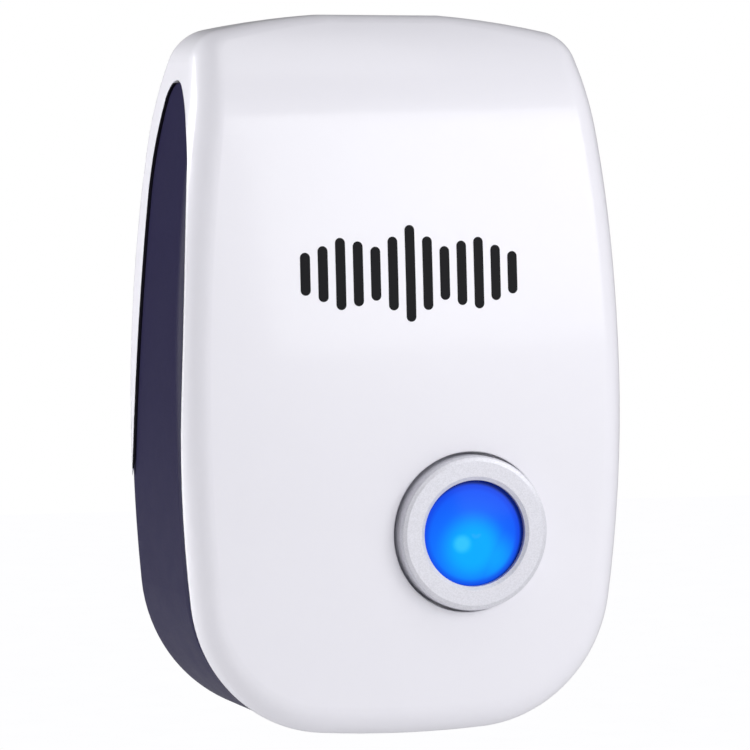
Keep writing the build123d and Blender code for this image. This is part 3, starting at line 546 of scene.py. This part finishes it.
def winding_finish():
    """Enamelled copper wire, turn beside turn along Y, with painted shade darkening the grooves where one
    turn meets the next.
    """
    material, build, shader = new_finish("coil_copper_wire", metallic=0.9)
    y = build.places()[2]
    turn_ridges_and_shade = build.calc("ABSOLUTE", build.calc("SINE", build.calc("MULTIPLY", y, math.pi / (0.25 * MM))))
    skin = build.place_group(drawn_group(), Colour=(0.60, 0.22, 0.08), Roughness=0.3)
    # Painted shade: deep brown in the grooves between neighbouring turn ridges, copper on their crests.
    build.put(shader.inputs["Base Color"], build.blend(turn_ridges_and_shade, (0.16, 0.05, 0.02), skin["Colour"]))
    build.put(shader.inputs["Roughness"], skin["Roughness"])
    relief(build, shader, turn_ridges_and_shade, 0.06 * MM)
    return material


def finish(material, *names):
    """Gives CAD nodes one material in place of what they came with."""
    for name in names:
        mesh = nodes[name].data
        mesh.materials.clear()
        mesh.materials.append(material)


# ------------------------------------------------------------------ surfaces on grids
def front_surface(x, z):
    """Height of the cover's front at x and z.

    Up the front, the profile is a circle of FRONT_BOW_RADIUS whose foremost point is at
    FRONT_BOW_HEIGHT. It is turned about an upright axis CROWN_RADIUS behind that point, so
    y = axis - sqrt(r * r - x * x), where r is the axis's distance from the profile.
    """
    foremost = housing_high.y - CASE_DEPTH
    bow = foremost + FRONT_BOW_RADIUS - np.sqrt(FRONT_BOW_RADIUS**2 - (z - FRONT_BOW_HEIGHT) ** 2)
    axis = foremost + CROWN_RADIUS
    return axis - np.sqrt((axis - bow) ** 2 - x**2)


def grid_faces(rows, columns):
    """Corner numbers of the four-sided faces of a grid."""
    first = (np.arange(rows - 1)[:, None] * columns + np.arange(columns - 1)[None, :]).ravel()
    return np.stack([first, first + columns, first + columns + 1, first + 1], axis=1)


def rim_faces(rows, columns, behind):
    """Faces that join a grid's border to the border of a second grid, behind numbers later."""
    top = np.arange(columns)
    right = np.arange(1, rows) * columns + columns - 1
    bottom = (rows - 1) * columns + np.arange(columns - 2, -1, -1)
    left = np.arange(rows - 2, 0, -1) * columns
    ring = np.concatenate([top, right, bottom, left])
    after = np.roll(ring, -1)
    return np.stack([ring, after, after + behind, ring + behind], axis=1)


def new_piece(name, points, faces, material, smooth=True):
    """Object from arrays of points and four-sided faces."""
    mesh = bpy.data.meshes.new(name)
    mesh.from_pydata(points.reshape(-1, 3).tolist(), [], faces.tolist())
    mesh.validate()
    mesh.update()
    mesh.polygons.foreach_set("use_smooth", np.full(len(mesh.polygons), smooth))
    mesh.materials.append(material)
    piece = bpy.data.objects.new(name, mesh)
    bpy.context.scene.collection.objects.link(piece)
    return piece


def bar_row(settings):
    """Rounded bars laid on the front.

    Over one bar, u and v run from -1 to 1: x = half the bar * sin(pi u / 2), and
    z = v * (straight half + half the bar * cos(pi u / 2)), so both ends are half circles. A
    front sheet stands off the plastic by the ink's depth and a back sheet lies as deep in it.
    """
    place = np.linspace(-1, 1, settings.count)
    half = settings.bar / 2
    centre = place * (settings.width / 2 - half)
    swing = 0.5 + 0.5 * np.cos(place * 2.0 * math.pi * 1.5)
    tall = settings.height / 2 * (0.30 + 0.70 * (1 - 0.55 * np.abs(place)) * (0.45 + 0.55 * swing))
    u = np.linspace(-1, 1, 13)[None, :, None]
    v = np.linspace(-1, 1, 25)[None, None, :]
    x = centre[:, None, None] + half * np.sin(u * math.pi / 2) + 0 * v
    reach = (tall - half)[:, None, None] + half * np.cos(u * math.pi / 2)
    z = settings.middle + v * reach
    y = front_surface(x, z)
    front = np.stack([x, y - settings.ink_depth, z], axis=-1)
    back = np.stack([x, y + settings.ink_depth, z], axis=-1)
    points = np.stack([front, back], axis=1)
    rows, columns = 13, 25
    sheet = grid_faces(rows, columns)
    behind = rows * columns
    one = np.concatenate([sheet[:, ::-1], sheet + behind, rim_faces(rows, columns, behind)])
    faces = (one[None] + np.arange(settings.count)[:, None, None] * 2 * behind).reshape(-1, 4)
    return points, faces


def woven_wires(settings):
    """Wires of a plain weave in a round frame.

    Wire k lies at offset k * pitch and runs along t over the chord of the circle there. Its
    height is half the wire times cos(pi (t / pitch + k)), with the sign changed for the
    crossing wires, so every wire goes over one and under the next. A six-sided ring is
    carried along each.
    """
    low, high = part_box("dust_mesh")
    middle = np.array([(low.x + high.x) / 2, (low.y + high.y) / 2, (low.z + high.z) / 2])
    radius = (high.x - low.x) / 2 - settings.wire
    last = int(radius * 0.97 / settings.pitch)
    offset = np.arange(-last, last + 1) * settings.pitch
    half = np.sqrt(radius**2 - offset**2)
    steps = 97
    sides = 6
    t = np.linspace(-1, 1, steps)[None, :] * half[:, None]
    order = np.arange(-last, last + 1)[:, None]
    wave = settings.wire / 2 * np.cos(math.pi * (t / settings.pitch + order))
    angle = np.arange(sides) * 2 * math.pi / sides
    side = settings.wire / 2 * np.cos(angle)[None, None, :]
    rise = settings.wire / 2 * np.sin(angle)[None, None, :]
    along = t[:, :, None] + 0 * side
    lateral = offset[:, None, None] + side + 0 * along
    sets = (
        np.stack([along, lateral, wave[:, :, None] + rise], axis=-1),
        np.stack([-lateral, along, rise - wave[:, :, None]], axis=-1),
    )
    points = np.concatenate(sets) + middle
    wires = len(points)
    ring = np.arange(sides)
    after = (ring + 1) % sides
    start = np.arange(steps - 1)[:, None] * sides
    corners = [start + ring, start + sides + ring, start + sides + after, start + after]
    tube = np.stack(corners, axis=-1).reshape(-1, 4)
    last_ring = (steps - 1) * sides
    caps = np.array([[0, 1, 2, 5], [2, 3, 4, 5]])
    ends = np.concatenate([caps, caps[:, ::-1] + last_ring])
    one = np.concatenate([tube[:, ::-1], ends[:, ::-1]])
    faces = (one[None] + np.arange(wires)[:, None, None] * steps * sides).reshape(-1, 4)
    return points, faces


# ------------------------------------------------------------------ operators
class REPELLER_OT_case(bpy.types.Operator):
    """Finish the two shells of the case"""

    bl_idname = "repeller.case"
    bl_label = "Case"

    def execute(self, context):
        finishes = context.scene.repeller_finishes
        finish(cover_finish(finishes.cover), "front_cover")
        finish(housing_finish(finishes.housing), "rear_housing")
        return {"FINISHED"}


class REPELLER_OT_plug(bpy.types.Operator):
    """Finish the plug's insert, blades, clamp and leads"""

    bl_idname = "repeller.plug"
    bl_label = "Plug"

    def execute(self, context):
        finishes = context.scene.repeller_finishes
        insert = moulded(
            "insert_matt_dark", finishes.insert, 0.55, grain=4200.0, depth=0.008, rounded=0.25 * MM
        )
        finish(insert, "plug_insert", "blade_clamp")
        streaks = (5200.0, 260.0, 5200.0)
        nickel = drawn("blade_nickel_plate", finishes.nickel, 0.24, streaks, rounded=0.15 * MM)
        finish(nickel, "live_blade", "neutral_blade")
        lead = moulded("lead_black_sheath", (0.015, 0.015, 0.016), 0.5, grain=3000.0)
        finish(lead, "live_lead", "neutral_lead", "transducer_leads")
        return {"FINISHED"}


class REPELLER_OT_screws(bpy.types.Operator):
    """Finish the screws of the case, the clamp and the board"""

    bl_idname = "repeller.screws"
    bl_label = "Screws"

    def execute(self, context):
        zinc = drawn("screw_zinc_plate", (0.56, 0.57, 0.60), 0.3, (2600.0, 2600.0, 2600.0), tarnish=0.25)
        finish(zinc, "housing_screws", "clamp_screws", "board_screws")
        return {"FINISHED"}


class REPELLER_OT_circuit(bpy.types.Operator):
    """Finish the circuit board, its components and the drive coil"""

    bl_idname = "repeller.circuit"
    bl_label = "Circuit"

    def execute(self, context):
        finish(board_finish(), "circuit_board")
        finish(moulded("capacitor_yellow_box", (0.62, 0.36, 0.02), 0.35, coat=0.2), "film_capacitor")
        sleeve = striped(
            "capacitor_dark_sleeve", (0.008, 0.012, 0.03), ((0.2, 0.07, (0.45, 0.47, 0.5)),), "x",
            -2 * MM, 10 * MM, 0.25,
        )
        finish(sleeve, "filter_capacitors")
        diode = striped(
            "diode_banded_epoxy", (0.012, 0.012, 0.013), ((0.62, 0.035, (0.6, 0.6, 0.6)),), "x",
            -20.75 * MM, 11.5 * MM, 0.45,
        )
        finish(diode, "rectifier_diodes")
        epoxy = moulded("component_black_epoxy", (0.012, 0.012, 0.013), 0.5, grain=6000.0, depth=0.01)
        finish(epoxy, "controller_chip", "driver_transistors")
        brown, red = (0.12, 0.03, 0.01), (0.5, 0.02, 0.01)
        gold, black = (0.55, 0.33, 0.06), (0.01, 0.01, 0.01)
        bands = ((0.30, 0.03, brown), (0.41, 0.03, black), (0.52, 0.03, red), (0.68, 0.03, gold))
        finish(striped("resistor_banded", (0.62, 0.44, 0.24), bands, "x", -17 * MM, 8 * MM, 0.4), "resistors")
        fusible = striped("fusible_banded", (0.20, 0.34, 0.42), bands, "x", -21 * MM, 14 * MM, 0.4)
        finish(fusible, "fusible_resistor")
        ferrite = moulded("coil_ferrite", (0.035, 0.034, 0.037), 0.6, grain=5000.0, depth=0.02)
        finish(ferrite, "drive_coil_core")
        finish(moulded("coil_bobbin_plastic", (0.02, 0.02, 0.02), 0.45), "drive_coil_bobbin")
        finish(winding_finish(), "drive_coil_winding")
        return {"FINISHED"}


class REPELLER_OT_sounder(bpy.types.Operator):
    """Finish the transducer and weave the dust mesh over the sound outlet"""

    bl_idname = "repeller.sounder"
    bl_label = "Sounder"

    def execute(self, context):
        rubber = moulded("holder_soft_rubber", (0.018, 0.018, 0.018), 0.7, grain=3500.0, depth=0.01)
        finish(rubber, "transducer_holder")
        aluminium = drawn("can_aluminium", (0.72, 0.72, 0.74), 0.32, (300.0, 300.0, 5000.0))
        finish(aluminium, "transducer_can", "transducer_cone")
        finish(moulded("base_black_plastic", (0.02, 0.02, 0.02), 0.5), "transducer_base")
        ceramic = moulded("piezo_fired_ceramic", (0.66, 0.60, 0.46), 0.65, grain=6000.0, depth=0.01)
        finish(ceramic, "piezo_disc")
        tin = drawn("pin_tin_plate", (0.66, 0.65, 0.62), 0.3, (300.0, 5000.0, 5000.0))
        finish(tin, "transducer_pins", "switch_pins")
        wire = moulded("mesh_black_wire", (0.012, 0.012, 0.013), 0.4, grain=3000.0)
        finish(wire, "dust_mesh")
        points, faces = woven_wires(context.scene.repeller_mesh)
        piece = new_piece("outlet_dust_mesh", points, faces, wire)
        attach(piece, "case")
        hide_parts("dust_mesh")
        return {"FINISHED"}


class REPELLER_OT_button(bpy.types.Operator):
    """Finish the button, its switch and the lamps behind it"""

    bl_idname = "repeller.button"
    bl_label = "Button"

    def execute(self, context):
        finishes = context.scene.repeller_finishes
        finish(ring_finish(finishes.ring), "button_ring")
        finish(lens_finish(finishes), "button_lens")
        finish(moulded("diffuser_milky", (0.70, 0.78, 0.92), 0.5, coat=0.1), "light_diffuser")
        finish(moulded("carrier_white_plastic", (0.72, 0.72, 0.72), 0.45), "button_carrier")
        finish(moulded("plunger_white_plastic", (0.68, 0.68, 0.67), 0.4), "switch_plunger")
        finish(moulded("switch_black_plastic", (0.014, 0.014, 0.014), 0.45), "switch_housing")
        steel = drawn("spring_bright_steel", (0.55, 0.55, 0.57), 0.25, (3000.0, 3000.0, 3000.0))
        finish(steel, "switch_spring")
        lamp = moulded("lamp_clear_blue", (0.10, 0.25, 0.85), 0.1, drift=0.02, coat=0.5)
        finish(lamp, "night_light_leds")
        return {"FINISHED"}


class REPELLER_OT_mark(bpy.types.Operator):
    """Print the row of level bars on the cover"""

    bl_idname = "repeller.mark"
    bl_label = "Printed mark"

    def execute(self, context):
        tint = context.scene.repeller_finishes.ink
        ink = moulded("mark_black_ink", tint, 0.6, drift=0.2, grain=4000.0, depth=0.002, specular=0.15)
        points, faces = bar_row(context.scene.repeller_mark)
        piece = new_piece("printed_level_bars", points, faces, ink, smooth=False)
        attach(piece, "case")
        return {"FINISHED"}


class REPELLER_OT_stage(bpy.types.Operator):
    """Add the floor, the surroundings, the lights and the camera"""

    bl_idname = "repeller.stage"
    bl_label = "Stage"

    def execute(self, context):
        settings = context.scene.repeller_stage
        scene = context.scene
        scene.view_settings.view_transform = "Standard"
        self.add_room(scene, settings)
        self.add_floor(settings)
        self.add_camera(scene, settings)
        self.add_light("key", (0.60, -1.03, 0.37), 1.0, 0.6, settings.key)
        self.add_light("top", (0.05, -0.35, 0.90), 0.6, 0.5, settings.top)
        self.add_light("low", (0.15, -0.80, -0.70), 0.7, 0.4, settings.low)
        self.add_light("side", (-0.90, 0.48, 0.05), 0.5, 0.9, settings.side)
        return {"FINISHED"}

    def add_room(self, scene, settings):
        """Pale room: brighter in front than behind, and plain white where the camera sees it."""
        world = bpy.data.worlds.new("studio")
        scene.world = world
        world.use_nodes = True
        build = Shader(world.node_tree)
        toward = build.add("VectorMath", operation="DOT_PRODUCT")
        build.put(toward.inputs[0], build.add("TexCoord").outputs["Generated"])
        toward.inputs[1].default_value = (0.42, -0.90, 0.12)
        level = build.step(toward.outputs["Value"], -0.2, 0.95, settings.back_fill, settings.front_fill)
        fill = world.node_tree.nodes["Background"]
        build.put(fill.inputs["Strength"], level)
        fill.inputs["Color"].default_value = (0.99, 0.985, 1.0, 1)
        behind = build.add("Background")
        behind.inputs["Color"].default_value = (1, 1, 1, 1)
        behind.inputs["Strength"].default_value = settings.backdrop
        mix = build.add("MixShader")
        build.put(mix.inputs[0], build.add("LightPath").outputs["Is Camera Ray"])
        build.put(mix.inputs[1], fill.outputs[0])
        build.put(mix.inputs[2], behind.outputs[0])
        build.put(world.node_tree.nodes["World Output"].inputs["Surface"], mix.outputs[0])

    def add_floor(self, settings):
        """Flat pale sheet under the object, 3 by 3 metres, clear when seen from below."""
        side = np.linspace(-1.5, 1.5, 7)
        x, y = np.meshgrid(side, side, indexing="ij")
        points = np.stack([x, y, np.full_like(x, cover_low.z - settings.floor_drop)], axis=-1)
        paper, build, shader = new_finish("stage_white_paper", specular=0.2)
        skin = build.place_group(moulded_group(), Colour=(0.9, 0.9, 0.91), Drift=0.02, Roughness=0.8)
        build.put(shader.inputs["Base Color"], skin["Colour"])
        build.put(shader.inputs["Roughness"], skin["Roughness"])
        glow = build.add("Emission")
        build.put(glow.inputs["Color"], skin["Colour"])
        glow.inputs["Strength"].default_value = settings.floor_glow
        mix = build.add("MixShader")
        build.put(mix.inputs[0], build.add("LightPath").outputs["Is Camera Ray"])
        build.put(mix.inputs[1], shader.outputs[0])
        build.put(mix.inputs[2], glow.outputs[0])
        side_seen = build.add("MixShader")
        build.put(side_seen.inputs[0], build.add("NewGeometry").outputs["Backfacing"])
        build.put(side_seen.inputs[1], mix.outputs[0])
        build.put(side_seen.inputs[2], build.add("BsdfTransparent").outputs[0])
        build.put(paper.node_tree.nodes["Material Output"].inputs["Surface"], side_seen.outputs[0])
        floor = new_piece("stage_floor", points, grid_faces(7, 7), paper)
        floor.visible_shadow = False

    def add_camera(self, scene, settings):
        """Camera on the viewing direction, aimed beside the middle of the case."""
        back = Vector(
            (
                -math.sin(settings.azimuth) * math.cos(settings.elevation),
                -math.cos(settings.azimuth) * math.cos(settings.elevation),
                math.sin(settings.elevation),
            )
        )
        right = Vector((math.cos(settings.azimuth), -math.sin(settings.azimuth), 0))
        up = back.cross(right)
        middle = Vector((0, -14 * MM, -2.5 * MM))
        target = middle - right * 0.52 * MM - up * 0.61 * MM
        data = bpy.data.cameras.new("camera")
        data.lens = settings.focal
        data.clip_start = 0.01
        camera = bpy.data.objects.new("camera", data)
        camera.location = target + back * settings.distance
        turn = back.to_track_quat("Z", "Y") @ Quaternion((0, 0, 1), settings.roll)
        camera.rotation_euler = turn.to_euler()
        scene.collection.objects.link(camera)
        scene.camera = camera

    def add_light(self, name, place, width, height, power):
        """Soft rectangular light that faces the object."""
        data = bpy.data.lights.new(name, "AREA")
        data.shape = "RECTANGLE"
        data.size = width
        data.size_y = height
        data.energy = power
        light = bpy.data.objects.new(name, data)
        light.location = place
        light.rotation_euler = Vector(place).to_track_quat("Z", "Y").to_euler()
        bpy.context.scene.collection.objects.link(light)


# ------------------------------------------------------------------ panel and start
STEPS = (
    REPELLER_OT_case,
    REPELLER_OT_plug,
    REPELLER_OT_screws,
    REPELLER_OT_circuit,
    REPELLER_OT_sounder,
    REPELLER_OT_button,
    REPELLER_OT_mark,
    REPELLER_OT_stage,
)
GROUPS = {
    "repeller_finishes": RepellerFinishes,
    "repeller_mark": RepellerMark,
    "repeller_mesh": RepellerMesh,
    "repeller_stage": RepellerStage,
}


class REPELLER_PT_panel(bpy.types.Panel):
    """Lists the pieces and their settings"""

    bl_idname = "REPELLER_PT_panel"
    bl_label = "Plug-in Repeller"
    bl_space_type = "VIEW_3D"
    bl_region_type = "UI"
    bl_category = "Repeller"

    def draw(self, context):
        for step in STEPS:
            self.layout.operator(step.bl_idname)
        for name in GROUPS:
            settings = getattr(context.scene, name)
            box = self.layout.box()
            for key in settings.__annotations__:
                box.prop(settings, key)


def register():
    """Registers the settings, the operators and the panel."""
    for cls in (*GROUPS.values(), *STEPS, REPELLER_PT_panel):
        bpy.utils.register_class(cls)
    for name, cls in GROUPS.items():
        setattr(bpy.types.Scene, name, PointerProperty(type=cls))


def unregister():
    """Removes what register added."""
    for name in GROUPS:
        delattr(bpy.types.Scene, name)
    for cls in reversed((*GROUPS.values(), *STEPS, REPELLER_PT_panel)):
        bpy.utils.unregister_class(cls)


def main():
    """Makes every piece in order."""
    register()
    for step in STEPS:
        name = step.bl_idname.split(".")[1]
        getattr(bpy.ops.repeller, name)()


if __name__ == "__main__":
    main()
